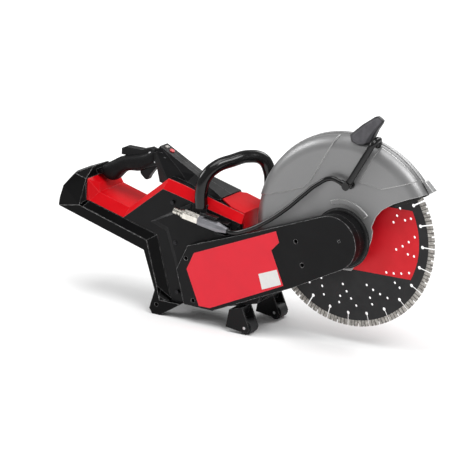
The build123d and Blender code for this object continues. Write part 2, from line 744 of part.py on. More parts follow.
def rear_bumper():
    """Hollow end block that closes the handle loop and takes knocks."""
    def end(shrink, keep):
        side = RAIL_Y - shrink
        outline = [
            (-633, side, -25), (-630, side, -9), (-620, side, 18), (-608, side - 2, 30), (-594, side - 4, 46),
            (-567, side - 4, 38), (-582, side, -17), (-570, side - 8, -7), (-612, 22, 41), (-572, 22, 56),
        ]
        middle_x, middle_z = -598, 12
        return hull(both_sides([
            (middle_x + keep * (x - middle_x), y, middle_z + keep * (z - middle_z)) for x, y, z in outline
        ]))
    return end(0, 1.0) - end(6, 0.84) - body_core(CORE_Y)


def rail():
    """Right bumper rail under the handle base and down the leg."""
    points = [
        (-632, -25.4), (-427, -85), (-402, -163), (-397, -154.2), (-420.3, -64.3), (-581, -17.7), (-582, -17.3),
    ]
    return slab(points, -RAIL_Y, -36)


def rear_foot():
    points = [
        (-402, -163), (-397, -154), (-391, -182.2), (-341, -182.2), (-368, -199), (-390, -213), (-408, -213),
        (-415, -202),
    ]
    foot = slab(points, -RAIL_Y, -CORE_Y - 2)
    gusset = hull([
        (-396, -CORE_Y - 0.1, -156), (-392, -CORE_Y - 0.1, -182), (-368, -CORE_Y - 0.1, -182),
        (-399, -RAIL_Y, -172), (-394, -RAIL_Y, -186), (-372, -SIDE_Y, -186),
    ])
    gusset = gusset - slab(cheek_points(), -SIDE_Y - 1, 0)
    return foot + gusset - disc(-398, -192, 4.0, -80, 0)


def rail_and_foot():
    return rail() + rear_foot()


def handle_grip_outline():
    return [
        (-558, 57), (-540, 68), (-516, 81), (-503, 85), (-466, 93), (-441, 103), (-428, 111), (-428, 80),
        (-432, 75), (-446, 68), (-473, 54.5), (-493, 56), (-513, 47), (-520, 40), (-527, 30), (-538, 28),
        (-550, 32), (-558, 38),
    ]


def grip_outer():
    return slab(handle_grip_outline(), -GRIP_Y, GRIP_Y)


def handle_grip():
    """Rubber overmould round the rear handle, open over the lever and the trigger."""
    grip = grip_outer() - handle_core() - lever_pocket() - trigger_pocket() - mast() - rear_bumper()
    return grip - housing_screws(0.3) - disc(*LEVER_PIVOT, 2.1, -HANDLE_Y, HANDLE_Y)


# ---------------------------------------------------------------- controls
def lockoff_lever():
    points = [
        (-514, 85), (-513, 98), (-504, 102), (-466, 101), (-446, 107), (-437, 104), (-436, 96), (-446, 94),
        (-466, 92), (-500, 85),
    ]
    return slab(points, -8.0, 8.0) - disc(*LEVER_PIVOT, 2.0 + RUN, -20, 20)


def trigger():
    points = [
        (-471, 60), (-470, 51), (-459, 41), (-453, 41.5), (-448, 50), (-441, 59), (-431, 70), (-425, 83),
        (-430, 88), (-438, 83), (-462, 72), (-471, 67),
    ]
    return slab(points, -6.0, 6.0) - disc(*TRIGGER_PIVOT, 2.0 + RUN, -20, 20)


def pivot_pin(x, z):
    return disc(x, z, 2.0, -HANDLE_Y + 1, HANDLE_Y - 1)


def coil(x, y, z, radius, wire, height, turns):
    helix = Pos(x, y, z) * Helix(pitch=height / turns, height=height, radius=radius)
    start = helix @ 0
    return sweep(Plane(origin=start, z_dir=helix % 0) * Circle(wire), path=helix, is_frenet=True)


def trigger_switch():
    body = block((-410, -380), (-8, 8), (62, 84))
    plunger = disc(-412, 76, 2, -4, 4)
    return body - plunger


def on_ridge(distance):
    """A place on the mast's top face, its own Z square to that face."""
    slope = atan2(RIDGE_TOP[1] - RIDGE_LOW[1], RIDGE_LOW[0] - RIDGE_TOP[0])
    x = RIDGE_TOP[0] + distance * cos(slope)
    z = RIDGE_TOP[1] - distance * sin(slope)
    return Pos(x, 0, z) * Rot(0, degrees(slope), 0)


def button_axis_cylinder(radius, low, high):
    return on_ridge(BUTTON_REACH) * Pos(0, 0, (low + high) / 2) * Cylinder(radius, high - low)


def power_button():
    return button_axis_cylinder(BUTTON_R, -3.8, 2.2)


def lens_block(shrink):
    return on_ridge(LENS_REACH) * Box(7 - shrink, 9 - shrink, 4 - shrink / 2)


# ---------------------------------------------------------------- electronics
def controller():
    case = block((-345, -300), (-30, 30), (-30, 12))
    fins = [block((-344, -301), (y, y + 2.5), (12, 22)) for y in range(-27, 26, 7)]
    for fin in fins:
        case = case + fin
    return case


def terminal_block():
    """Battery connector body, set in the wall of the bay."""
    body = block((-423, -398), (-23.5, 23.5), (-127.5, -84.5))
    slots = [block((-430, -410), (y - 1.2, y + 1.2), (-122, -90)) for y in (-16, -6, 6, 16)]
    return body - group(slots)


def terminal_blades():
    return group([block((-428, -414), (y - 0.7, y + 0.7), (-118, -94)) for y in (-16, -6, 6, 16)])


def battery_rails():
    """Slide rails moulded under the handle base, with inward lips."""
    rear, front = (-566, -21), (-446, -56)
    points = [rear, front, (front[0] - 2, front[1] - 7), (rear[0] - 2, rear[1] - 7)]
    lip = [
        (rear[0] - 1.4, rear[1] - 4), (front[0] - 1.4, front[1] - 4), (front[0] - 2, front[1] - 7),
        (rear[0] - 2, rear[1] - 7),
    ]
    right = slab(points, -35.5, -28) + slab(lip, -28, -23)
    return right + flip(right)


def wiring():
    lead = [(-388, -100), (-366, -60), (-349, -24)]
    cables = []
    for y in (-10, 0, 10):
        path = Spline(*[(x, y, z) for x, z in lead])
        cables.append(wire_tube(path, (lead[0][0], y, lead[0][1]), path % 0, 2.2))
    motor_lead = [(-299, 0, -14), (-285, 0, -20), (-268, 0, -46)]
    for offset_y in (-24, -17, 20):
        points = [(x, y + offset_y, z) for x, y, z in motor_lead]
        path = Spline(*points)
        cables.append(wire_tube(path, points[0], path % 0, 1.8))
    return group(cables)


# ---------------------------------------------------------------- front handle
def hoop_path():
    return FilletPolyline(*HOOP_CORNERS, radius=HOOP_BEND)


def hoop_feet(extra):
    """The straight lower ends of the hoop, a little oversize."""
    near, near_top, far_top, far = HOOP_CORNERS
    return group([bar(near, near_top, HOOP_TUBE_R + extra), bar(far, far_top, HOOP_TUBE_R + extra)])


def front_handle():
    path = hoop_path()
    return wire_tube(path, path @ 0, path % 0, HOOP_TUBE_R, 8.0)


def front_handle_grip():
    """Rubber sleeve on the hoop's cross bar."""
    a, b = Vector(*HOOP_CORNERS[1]), Vector(*HOOP_CORNERS[2])
    along = (b - a).normalized()
    start, end = a + along * 34, b - along * 36
    return bar(start, end, HOOP_GRIP_R, HOOP_TUBE_R + 0.05)


def hoop_sockets():
    """Saddles on the body's upper edges that hold the feet of the hoop."""
    near = block((-314, -282), (-SIDE_Y - FIELD - 0.4, -CORE_Y - 0.3), (4, 26))
    far = block((-221, -189), (CORE_Y + 0.3, RAIL_Y), (-8, 26))
    return near, far


def hoop_saddles():
    near, far = hoop_sockets()
    feet = hoop_feet(0.05)
    return group([near - feet, far - feet])


# ---------------------------------------------------------------- water feed
def along_valve(distance, rise=0.0, y=VALVE_TIP[1]):
    """A point on the valve's sloping axis, measured from its open tip."""
    slope = radians(VALVE_FALL)
    x = VALVE_TIP[0] + distance * cos(slope) + rise * sin(slope)
    z = VALVE_TIP[2] - distance * sin(slope) + rise * cos(slope)
    return (x, y, z)


def valve_bar(start, end, radius, bore=0):
    return bar(along_valve(start), along_valve(end), radius, bore)


def water_coupler():
    """Plug of the hose quick coupling, with its locking groove and hexagon."""
    plug = valve_bar(0, 22, PLUG_R) - valve_bar(9, 12, 20, 5.4) - valve_bar(16, 19, 20, 5.8)
    collar = valve_bar(19, 24, 9.0)
    a, b = Vector(*along_valve(24)), Vector(*along_valve(58))
    hexagonal = Plane(origin=a, z_dir=b - a) * RegularPolygon(9.3, 6, major_radius=False)
    nut = extrude(hexagonal, amount=(b - a).length)
    return plug + collar + nut - valve_bar(-1, 60, 3.5)


def valve_body():
    """Eight-sided valve body that tapers to the hose."""
    a, b, c = (Vector(*along_valve(distance)) for distance in (58.1, 100, VALVE_END))
    straight = extrude(Plane(origin=a, z_dir=b - a) * RegularPolygon(VALVE_R, 8), amount=(b - a).length)
    wide = Plane(origin=b, z_dir=c - b) * RegularPolygon(VALVE_R, 8)
    narrow = Plane(origin=c, z_dir=c - b) * RegularPolygon(5.6, 8)
    cone = loft([wide.face(), narrow.face()])
    stem = bar(along_valve(VALVE_STEM, 5), along_valve(VALVE_STEM, VALVE_R + 1.5), 4.5)
    return straight + cone + stem - valve_bar(50, VALVE_END + 8, 3.4)


def valve_lever():
    """Quarter-turn lever lying along the top of the valve."""
    low = VALVE_R + 1.7
    hub = bar(along_valve(VALVE_STEM, low), along_valve(VALVE_STEM, low + 6), 6.5)
    arm = []
    for distance, half, start, end in ((2, 5.5, low + 0.8, low + 5.5), (34, 4.5, low + 2, low + 6.5)):
        for y in (VALVE_TIP[1] - half, VALVE_TIP[1] + half):
            arm += [along_valve(VALVE_STEM + distance, rise, y) for rise in (start, end)]
    return hub + hull(arm)


def valve_holder():
    """Clip block that carries the valve on the body's side."""
    x, y, z = along_valve(108)
    holder = block((x - 14, x + 14), (y - 1, -SIDE_Y - FIELD - 0.1), (z - 13, z + 11))
    return holder - valve_bar(60, 140, VALVE_R + 0.1) - block((x - 20, x + 20), (y - 9, y), (z, z + 20))


def hose_points():
    start = along_valve(VALVE_END + 0.8)
    return [
        start, along_valve(VALVE_END + 10), (-186, -67, -5), (-150, -65, 14), (-103, -60, 48), (-72, -53, 77),
        (-45, -46, 101), (-18, -41.5, 115), (1.6, -40, 110.6),
    ]


def water_hose():
    path = Spline(*hose_points())
    return wire_tube(path, path @ 0, path % 0, HOSE_R, 3.0)


def hose_elbow():
    x, y, z = ELBOW
    seat = -GUARD_HALF_WIDTH - 0.05
    post = disc(x, z, ELBOW_R, y - 7, seat) + disc(x, z, ELBOW_R + 2, -31.0, seat)
    inlet = bar(ELBOW, (2.6, y, 110.3), 5.6)
    outlet = bar(ELBOW, (19.8, y, 112.6), ELBOW_R)
    cap = disc(x, z, ELBOW_R + 1, y - 8.5, y - 6)
    return post + inlet + outlet + cap


def guard_tube():
    """Rigid pipe from the elbow up the guard's side and in through its crown."""
    start = (20, ELBOW[1], 113)
    path = FilletPolyline(start, TUBE_BEND, TUBE_PORT, TUBE_END, radius=9)
    return wire_tube(path, path @ 0, path % 0, TUBE_R, 3.0)


# ---------------------------------------------------------------- front feet
def front_foot():
    cheek = [(-192, -159), (-221, -167), (-229, -203), (-200, -207), (-181, -208), (-175, -200)]
    outer = slab(cheek, -72, -68.5)
    inner = slab(cheek, -41.5, -38)
    bridge = slab([(-192, -159), (-221, -167), (-225, -184), (-210, -180), (-196, -176)], -68.5, -41.5)
    return outer + inner + bridge - disc(WHEEL_X, GROUND_Z + WHEEL_R, AXLE_R, -80, -30)


def front_wheel():
    z = GROUND_Z + WHEEL_R
    wheel = disc(WHEEL_X, z, WHEEL_R, -67.5, -42.5)
    sides = ring(WHEEL_X, z, 11, 6.5, -68, -65.5) + ring(WHEEL_X, z, 11, 6.5, -44.5, -42)
    return wheel - sides - disc(WHEEL_X, z, AXLE_R + RUN, -80, -30)


def wheel_axle():
    z = GROUND_Z + WHEEL_R
    return disc(WHEEL_X, z, AXLE_R, -71.9, -38.5)


# ---------------------------------------------------------------- assembly
def cut_body(shape):
    """Make room in a body piece for the hoop's feet and their saddles."""
    near, far = hoop_sockets()
    return shape - near - far - hoop_feet(0.3)


def main():
    write("blade_core", blade_core())
    write("blade_segments", blade_segments())
    write("spindle", spindle())
    write("inner_flange", flange(-9.2, -CORE_T / 2, ARBOR_R))
    write("outer_flange", outer_flange())
    write("arbor_bolt", arbor_bolt())
    write("blade_pulley", pulley(0, 0, BLADE_PULLEY_R, SPINDLE_R, 16))
    write("drive_pulley", pulley(*MOTOR, DRIVE_PULLEY_R, MOTOR_SHAFT_R, 12))
    write("idler_pulley", pulley(*idler_place(), IDLER_R, 4.0, 8))
    write("idler_pin", idler_pin())
    write("drive_belt", drive_belt())
    write("support_arm", support_arm())
    write("spindle_bearings", spindle_bearings())
    write("motor_bearings", motor_bearings())
    write("belt_cover", belt_cover())
    write("belt_cover_panel", cover_panel())
    write("belt_cover_screws", cover_screws())
    write("motor_stator", motor_stator())
    write("motor_rotor", motor_rotor())
    write("motor_end_cap", motor_end_cap())
    write("motor_fan", motor_fan())
    write("guard_shell", guard_shell())
    write("guard_outer_plate", guard_outer_plate())
    write("guard_lip", guard_lip())
    write("guard_flap", guard_flap())
    write("guard_clamp_ring", guard_clamp_ring())
    write("guard_screws", clamp_screws())
    write("guard_handle", guard_handle())
    right, left = housing_halves()
    write("right_housing", cut_body(right))
    write("left_housing", cut_body(left))
    write("housing_screws", housing_screws())
    write("handle_tray", handle_tray())
    write("top_trim", cut_body(top_trim()))
    write("rear_bumper", rear_bumper() - handle_core() - handle_tray())
    write("bumper_rails", group([rail_and_foot(), flip(rail_and_foot())]))
    write("handle_grip", handle_grip())
    write("lockoff_lever", lockoff_lever())
    write("trigger", trigger())
    write("handle_pins", group([pivot_pin(*LEVER_PIVOT), pivot_pin(*TRIGGER_PIVOT)]))
    write("trigger_spring", coil(-466, 0, 71.6, 2.4, 0.35, 2.2, 2))
    write("trigger_switch", trigger_switch())
    write("power_button", power_button())
    write("status_lens", lens_block(0.4))
    write("controller", controller())
    write("terminal_block", group([terminal_block(), terminal_blades()]))
    write("wiring", wiring())
    write("front_handle", front_handle())
    write("front_handle_grip", front_handle_grip())
    write("hoop_saddles", hoop_saddles())
    write("water_coupler", water_coupler())
    write("valve_body", valve_body())
    write("valve_lever", valve_lever())
    write("valve_holder", valve_holder())
    write("water_hose", water_hose())
    write("hose_elbow", hose_elbow())
    write("guard_tube", guard_tube())
    write("front_feet", group([front_foot(), flip(front_foot())]))
    write("right_wheel", front_wheel())
    write("left_wheel", flip(front_wheel()))
    write("wheel_axles", group([wheel_axle(), flip(wheel_axle())]))


if __name__ == "__main__":
    main()
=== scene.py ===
import json
from math import cos, pi, radians, sin

import bmesh
import bpy
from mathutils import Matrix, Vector


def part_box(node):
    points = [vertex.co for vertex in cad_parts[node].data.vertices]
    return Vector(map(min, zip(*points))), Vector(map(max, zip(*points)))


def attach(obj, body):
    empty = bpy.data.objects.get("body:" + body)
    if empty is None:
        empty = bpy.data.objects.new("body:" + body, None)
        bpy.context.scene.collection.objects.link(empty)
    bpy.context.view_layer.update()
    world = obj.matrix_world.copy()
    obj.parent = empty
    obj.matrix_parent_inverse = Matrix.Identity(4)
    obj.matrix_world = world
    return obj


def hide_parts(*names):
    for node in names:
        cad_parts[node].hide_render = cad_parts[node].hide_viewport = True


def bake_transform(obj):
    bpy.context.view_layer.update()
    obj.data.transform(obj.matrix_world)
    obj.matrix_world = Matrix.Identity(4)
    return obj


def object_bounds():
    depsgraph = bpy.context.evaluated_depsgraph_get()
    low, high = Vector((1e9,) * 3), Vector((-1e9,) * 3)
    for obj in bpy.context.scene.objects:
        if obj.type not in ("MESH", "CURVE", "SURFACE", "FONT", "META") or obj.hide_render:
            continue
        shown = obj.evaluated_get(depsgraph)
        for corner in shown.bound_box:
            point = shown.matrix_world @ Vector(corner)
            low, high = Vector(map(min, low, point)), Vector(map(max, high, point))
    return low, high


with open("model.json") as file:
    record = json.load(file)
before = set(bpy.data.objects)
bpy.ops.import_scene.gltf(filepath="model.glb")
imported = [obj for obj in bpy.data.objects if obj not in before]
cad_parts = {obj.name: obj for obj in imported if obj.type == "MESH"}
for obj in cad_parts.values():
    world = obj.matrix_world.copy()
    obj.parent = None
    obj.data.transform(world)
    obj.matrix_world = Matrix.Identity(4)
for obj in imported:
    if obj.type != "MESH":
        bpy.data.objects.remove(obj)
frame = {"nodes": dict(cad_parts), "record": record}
cad_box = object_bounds()

NODES = frame["nodes"]
SLOT_OF = {row["node"]: row["material_slot"] for row in frame["record"]["subparts"]}
MM = 0.001
BLADE_LOW, BLADE_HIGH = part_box("blade_core")
HUB = (BLADE_LOW + BLADE_HIGH) / 2     # places below are millimetres from the blade centre

# Viewpoint, from the blade centre, in metres
CAMERA_PLACE = Vector((1.8763, -3.3503, 1.1440))
CAMERA_BACK = Vector((0.5186, -0.8072, 0.2817))
CAMERA_LENS = 171.6
SENSOR = 36.0


def at(x, y, z):
    """The row-frame point x, y, z millimetres from the blade centre."""
    return HUB + Vector((x, y, z)) * MM


# ---------------------------------------------------------------- materials
class Finish:
    """A node material being built. Sizes are millimetres."""

    def __init__(self, name):
        self.material = bpy.data.materials.new(name)
        self.material.use_nodes = True
        self.tree = self.material.node_tree
        self.surface = self.tree.nodes["Principled BSDF"]
        self.place = self.node("ShaderNodeTexCoord").outputs["Object"]
        self.normal = None

    def node(self, kind, inputs=(), **settings):
        made = self.tree.nodes.new(kind)
        for key, value in settings.items():
            setattr(made, key, value)
        for key, value in dict(inputs).items():
            self.feed(made.inputs[key], value)
        return made

    def feed(self, socket, value):
        if isinstance(value, bpy.types.NodeSocket):
            self.tree.links.new(value, socket)
        else:
            socket.default_value = value

    def set(self, **values):
        """Principled inputs by name, with _ for a space."""
        for key, value in values.items():
            self.feed(self.surface.inputs[key.replace("_", " ")], value)

    def maths(self, operation, a, b=0.0):
        return self.node("ShaderNodeMath", {0: a, 1: b}, operation=operation).outputs[0]

    def noise(self, size, detail=2.0, stretch=(1, 1, 1)):
        """A smooth random field with blobs about size across, finer along stretched axes."""
        place = self.node("ShaderNodeVectorMath", {0: self.place, 1: stretch}, operation="MULTIPLY")
        inputs = {"Vector": place.outputs[0], "Scale": 1 / (size * MM), "Detail": detail}
        return self.node("ShaderNodeTexNoise", inputs).outputs[0]

    def ramp(self, value, start, end, low=0.0, high=1.0):
        inputs = {"Value": value, "From Min": start, "From Max": end, "To Min": low, "To Max": high}
        return self.node("ShaderNodeMapRange", inputs).outputs["Result"]

    def blotch(self, size, low, high, detail=3.0):
        """The noise field spread over a range of values."""
        return self.ramp(self.noise(size, detail), 0.35, 0.65, low, high)

    def mix(self, share, a, b):
        inputs = {0: share, 6: a, 7: b}
        return self.node("ShaderNodeMix", inputs, data_type="RGBA").outputs[2]

    def round_edges(self, radius):
        """Shading normal that rounds sharp edges; the rest of the bumps build on it."""
        self.normal = self.node("ShaderNodeBevel", {"Radius": radius * MM}, samples=4).outputs[0]
        self.set(Normal=self.normal)

    def edges(self, reach=0.93):
        """1 along the edges that round_edges turned, 0 on flats."""
        flat = self.node("ShaderNodeNewGeometry").outputs["Normal"]
        lean = self.node("ShaderNodeVectorMath", {0: self.normal, 1: flat}, operation="DOT_PRODUCT")
        return self.ramp(lean.outputs["Value"], 0.995, reach)

    def bump(self, height, depth, strength=1.0):
        inputs = {"Height": height, "Distance": depth * MM, "Strength": strength}
        if self.normal:
            inputs["Normal"] = self.normal
        self.normal = self.node("ShaderNodeBump", inputs).outputs[0]
        self.set(Normal=self.normal)

    def from_hub(self):
        """x and z of the shaded point and its distance from the blade axis, in metres."""
        moved = self.node("ShaderNodeVectorMath", {0: self.place, 1: HUB}, operation="SUBTRACT")
        axes = self.node("ShaderNodeSeparateXYZ", {0: moved.outputs[0]})
        x, z = axes.outputs[0], axes.outputs[2]
        square = self.maths("ADD", self.maths("MULTIPLY", x, x), self.maths("MULTIPLY", z, z))
        return x, z, self.maths("SQRT", square)


def tint(colour, factor=1.0):
    return tuple(min(1.0, c * factor) for c in colour) + (1.0,)


def moulded(name, colour, rough, grain=0.8, depth=0.04, edge=0.9, edge_wear_and_highlight=None, gloss=0.2, drift=0.12):
    """Moulded plastic or rubber: fine grain, soft colour drift, polished edges, paler at the edges from
    rubbing and from a painted highlight.

    grain is the size and depth the height of the surface grain, edge the radius of the rounding,
    edge_wear_and_highlight the colour of the edges, rubbed and painted as a highlight, gloss the strength of
    reflections and drift the colour spread.
    """
    f = Finish(name)
    f.round_edges(edge)
    rim = f.edges()
    shade = f.mix(f.blotch(45, 0, 1), tint(colour, 1 - drift), tint(colour, 1 + drift))
    # Paler edge colour in blotches: rubbing, plus a painted highlight along the edges.
    scuff = f.maths("MULTIPLY", rim, f.blotch(7, 0.25, 0.95))
    f.set(Base_Color=f.mix(scuff, shade, tint(edge_wear_and_highlight or colour)))
    spread = f.blotch(22, rough - 0.06, rough + 0.07)
    f.set(Roughness=f.maths("SUBTRACT", spread, f.maths("MULTIPLY", rim, 0.10)))
    f.bump(f.noise(grain, 2.0), depth)
    f.set(Specular_IOR_Level=gloss)
    return f.material


def metal(name, colour, rough=0.3, brush=(1, 1, 1), edge=0.5, depth=0.03, metallic=1.0, dirt=0.85):
    """Machined or plated metal: fine directional brushing and faint tarnish."""
    f = Finish(name)
    f.round_edges(edge)
    shade = f.mix(f.blotch(14, 0, 1), tint(colour, dirt), tint(colour, 1.05))
    f.set(Base_Color=f.mix(f.edges(), shade, tint(colour, 1.2)), Metallic=metallic)
    f.set(Roughness=f.blotch(6, rough - 0.06, rough + 0.08))
    f.bump(f.noise(1.1, 3.0, brush), depth)
    return f.material


def plated(name):
    """Bright nickel plate, with painted shade darkening its colour towards the sides turned away from the
    view.
    """
    f = Finish(name)
    f.round_edges(0.4)
    facing = f.node("ShaderNodeLayerWeight", {"Blend": 0.45}).outputs["Facing"]
    bright = f.mix(f.blotch(9, 0, 1), (0.66, 0.63, 0.57, 1), (0.80, 0.77, 0.71, 1))
    # Painted shade: the colour darkens towards the sides turned away from the view.
    f.set(Base_Color=f.mix(f.ramp(facing, 0.2, 0.6), bright, (0.04, 0.037, 0.033, 1)), Metallic=1.0)
    f.set(Roughness=f.blotch(5, 0.12, 0.2))
    f.bump(f.noise(2.0, 2.0, (6, 1, 1)), 0.008)
    return f.material


def painted_guard(name):
    """Satin silver paint over pressed sheet, with fine orange peel, and its edges and creases painted near
    white as highlights.
    """
    f = Finish(name)
    f.round_edges(1.8)
    rim = f.edges(0.94)
    base = f.mix(f.blotch(60, 0, 1), (0.250, 0.250, 0.252, 1), (0.268, 0.268, 0.270, 1))
    flake = f.mix(f.blotch(0.9, 0, 0.25, 1.0), base, (0.36, 0.36, 0.36, 1))
    # Edges and creases painted near white: a painted highlight.
    f.set(Base_Color=f.mix(f.maths("MULTIPLY", rim, 0.7), flake, (0.86, 0.86, 0.85, 1)))
    f.set(Metallic=0.65, Roughness=f.blotch(30, 0.38, 0.43), Specular_IOR_Level=0.3)
    f.bump(f.noise(3.2, 2.0), 0.03)
    return f.material


PRINT_R = 0.1465           # metres: the printed field stays inside this radius
PRINT_HALF = 0.066         # metres: half the height of the printed band
PRINT_RAGGED = 0.0004      # metres: unevenness of its border


def printed_blade(name):
    """Black lacquered steel with a red printed field across the middle, scuffed in rings."""
    f = Finish(name)
    f.round_edges(0.4)
    _, z, radius = f.from_hub()
    ragged = f.ramp(f.noise(1.4, 2.0), 0.3, 0.7, -PRINT_RAGGED, PRINT_RAGGED)
    reach = f.maths("ADD", radius, ragged)
    in_disc = f.maths("LESS_THAN", reach, PRINT_R)
    height = f.maths("ADD", f.maths("ABSOLUTE", z), ragged)
    in_band = f.maths("LESS_THAN", height, PRINT_HALF)
    field = f.maths("MULTIPLY", in_disc, in_band)
    rings = f.node("ShaderNodeCombineXYZ", {0: f.maths("MULTIPLY", radius, 900.0)}).outputs[0]
    scuff = f.node("ShaderNodeTexNoise", {"Vector": rings, "Scale": 1.0, "Detail": 3.0}).outputs[0]
    patch = f.maths("MULTIPLY", f.ramp(scuff, 0.55, 0.75), f.blotch(26, 0, 0.5))
    red = f.mix(f.blotch(40, 0, 1), (0.66, 0.006, 0.014, 1), (0.72, 0.009, 0.019, 1))
    black = f.mix(f.blotch(30, 0, 1), (0.010, 0.010, 0.011, 1), (0.016, 0.016, 0.017, 1))
    paint = f.mix(field, black, red)
    f.set(Base_Color=f.mix(f.maths("MULTIPLY", patch, 0.2), paint, (0.12, 0.11, 0.11, 1)))
    f.set(Roughness=f.ramp(scuff, 0.3, 0.7, 0.36, 0.5), Specular_IOR_Level=0.3)
    f.bump(scuff, 0.02)
    return f.material


GROOVE_SPACING = 1.25      # degrees round the blade, half the pitch of the grooves


def diamond_segment(name):
    """Sintered segment metal: sandy, pitted, with darker grit and dark radial lines painted as the shade of
    pressed grooves.
    """
    f = Finish(name)
    f.round_edges(0.5)
    x, z, _ = f.from_hub()
    around = f.maths("MULTIPLY", f.maths("ARCTAN2", z, x), 180 / pi)
    # Radial lines painted dark: painted shade standing in for grooves.
    painted_groove_shade = f.ramp(f.maths("PINGPONG", around, GROOVE_SPACING), 0.0, 0.5)
    base = f.mix(f.blotch(5, 0, 1), (0.30, 0.28, 0.26, 1), (0.60, 0.58, 0.54, 1))
    base = f.mix(painted_groove_shade, (0.07, 0.066, 0.06, 1), base)
    grit = f.node("ShaderNodeTexVoronoi", {"Vector": f.place, "Scale": 900.0}).outputs["Distance"]
    specks = f.ramp(grit, 0.12, 0.3, 0.7, 0.0)
    f.set(Base_Color=f.mix(specks, base, (0.10, 0.09, 0.08, 1)))
    f.set(Metallic=0.55, Roughness=f.blotch(3, 0.5, 0.75))
    f.bump(f.noise(0.9, 3.0), 0.18)
    return f.material


def textured_grip(name):
    """Soft black rubber with a fine pimple pattern."""
    f = Finish(name)
    f.round_edges(1.0)
    pimples = f.node("ShaderNodeTexVoronoi", {"Vector": f.place, "Scale": 420.0}, feature="SMOOTH_F1")
    height = f.ramp(pimples.outputs["Distance"], 0.1, 0.6, 1.0, 0.0)
    shade = f.mix(f.blotch(30, 0, 1), (0.003, 0.003, 0.0034, 1), (0.005, 0.005, 0.0054, 1))
    f.set(Base_Color=f.mix(f.maths("MULTIPLY", height, 0.4), shade, (0.011, 0.011, 0.012, 1)))
    f.set(Roughness=f.blotch(12, 0.48, 0.62), Specular_IOR_Level=0.13)
    f.bump(height, 0.22)
    return f.material


def faced_rubber(name):
    """Grey rubber, painted lighter on the faces turned to the tool's right side as if lit there, and darker
    elsewhere, with edges painted paler as highlights.
    """
    f = Finish(name)
    f.round_edges(0.7)
    rim = f.edges()
    facing = f.node("ShaderNodeSeparateXYZ", {0: f.node("ShaderNodeNewGeometry").outputs["Normal"]})
    # Painted light: faces turned to the tool's right side are made lighter.
    painted_lit_side = f.ramp(f.maths("MULTIPLY", facing.outputs[1], -1.0), 0.72, 0.96)
    dark = f.mix(f.blotch(12, 0, 1), (0.012, 0.012, 0.014, 1), (0.018, 0.018, 0.020, 1))
    painted_light_colour = f.mix(f.blotch(9, 0, 1), (0.075, 0.073, 0.080, 1), (0.098, 0.096, 0.104, 1))
    shade = f.mix(painted_lit_side, dark, painted_light_colour)
    # Paler edges: a painted highlight.
    f.set(Base_Color=f.mix(f.maths("MULTIPLY", rim, 0.6), shade, (0.22, 0.22, 0.23, 1)))
    f.set(Roughness=f.blotch(8, 0.4, 0.55), Specular_IOR_Level=0.3)
    f.bump(f.noise(0.9, 2.0), 0.08)
    return f.material


def label_film(name):
    """Plain pale adhesive film with a thin grey frame of wear at its edges."""
    f = Finish(name)
    f.round_edges(0.3)
    shade = f.mix(f.blotch(6, 0, 1), (0.77, 0.76, 0.75, 1), (0.80, 0.79, 0.78, 1))
    f.set(Base_Color=f.mix(f.edges(), shade, (0.45, 0.44, 0.43, 1)))
    f.set(Roughness=f.blotch(5, 0.35, 0.5))
    f.bump(f.noise(1.4, 2.0), 0.01)
    return f.material


def lamination(name):
    """Stack of thin electrical steel sheets: fine lines across the motor axis."""
    f = Finish(name)
    axes = f.node("ShaderNodeSeparateXYZ", {0: f.place})
    lines = f.maths("PINGPONG", axes.outputs[1], 0.0006)
    sheet = f.ramp(lines, 0.0, 0.0006)
    f.set(Base_Color=f.mix(sheet, (0.10, 0.10, 0.11, 1), (0.36, 0.36, 0.38, 1)), Metallic=0.9)
    f.set(Roughness=f.blotch(8, 0.35, 0.5))
    f.bump(sheet, 0.1)
    return f.material


def indicator_lens(name):
    """Smoked clear window with a faint warm glow behind it."""
    f = Finish(name)
    f.round_edges(0.4)
    glow = f.blotch(5, 0.2, 0.8)
    f.set(Base_Color=f.mix(glow, (0.20, 0.19, 0.18, 1), (0.52, 0.50, 0.47, 1)))
    f.set(Roughness=f.blotch(4, 0.08, 0.16), Coat_Weight=0.6)
    return f.material


